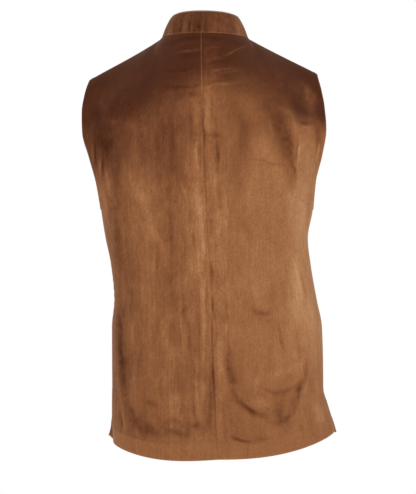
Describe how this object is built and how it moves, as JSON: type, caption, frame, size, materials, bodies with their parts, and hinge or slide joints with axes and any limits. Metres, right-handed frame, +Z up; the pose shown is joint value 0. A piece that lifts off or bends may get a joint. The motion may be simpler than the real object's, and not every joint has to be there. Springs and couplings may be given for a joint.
{
  "type": "nehru jacket",
  "caption": "Sleeveless velvet jacket with a low stand collar, a buttoned front, a centre-back seam and open side vents at a straight hem",
  "frame": {"origin": "the mount wearer_shoulders: the middle of the neck at the height of the neck points, where the shoulders carry the jacket", "axes": "+Z up along the wearer, -Y out of the front, +X to the wearer's left"},
  "size_m": [0.4248, 0.2761, 0.7336],
  "materials": {
    "velvet": "cut pile velvet, dark reddish brown at the shoulders to camel at the hem",
    "collar_velvet": "cut pile velvet, dark reddish brown",
    "collar_cloth": "smooth brown cloth with a rolled edge",
    "button": "cloth covered dome, dark brown"
  },
  "bodies": {
    "root": {"back_left": "velvet", "back_right": "velvet", "front_left": "velvet", "front_right": "velvet", "collar": "collar_velvet", "collar_inner": "collar_cloth", "button_1": "button", "button_2": "button", "button_3": "button", "button_4": "button", "button_5": "button"}
  },
  "joints": []
}
